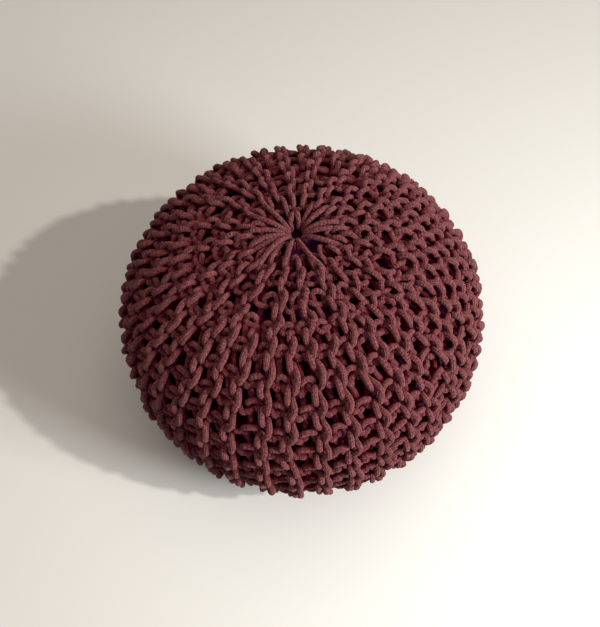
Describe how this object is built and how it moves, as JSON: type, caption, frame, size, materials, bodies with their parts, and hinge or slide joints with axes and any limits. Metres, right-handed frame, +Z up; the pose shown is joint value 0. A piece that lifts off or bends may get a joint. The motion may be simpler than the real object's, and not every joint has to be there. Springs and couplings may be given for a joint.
{
  "type": "knitted floor pouf",
  "caption": "Round floor pouf with a ribbed cotton-rope knitted cover, drawn in to a gathered centre on top, on a broad flat base.",
  "frame": {"origin": "centre of the flat base, on the floor", "axes": "+Z up along the axis of the round body; X and Y lie in the floor and pass through valleys between ribs, and the gathered centre lies 10 mm toward +Y"},
  "size_m": [0.499, 0.4984, 0.3567],
  "materials": {
    "cotton_rope": "matt wine-red cotton rope, rib knitted"
  },
  "bodies": {
    "root": {"knitted_cover": "cotton_rope"}
  },
  "joints": []
}
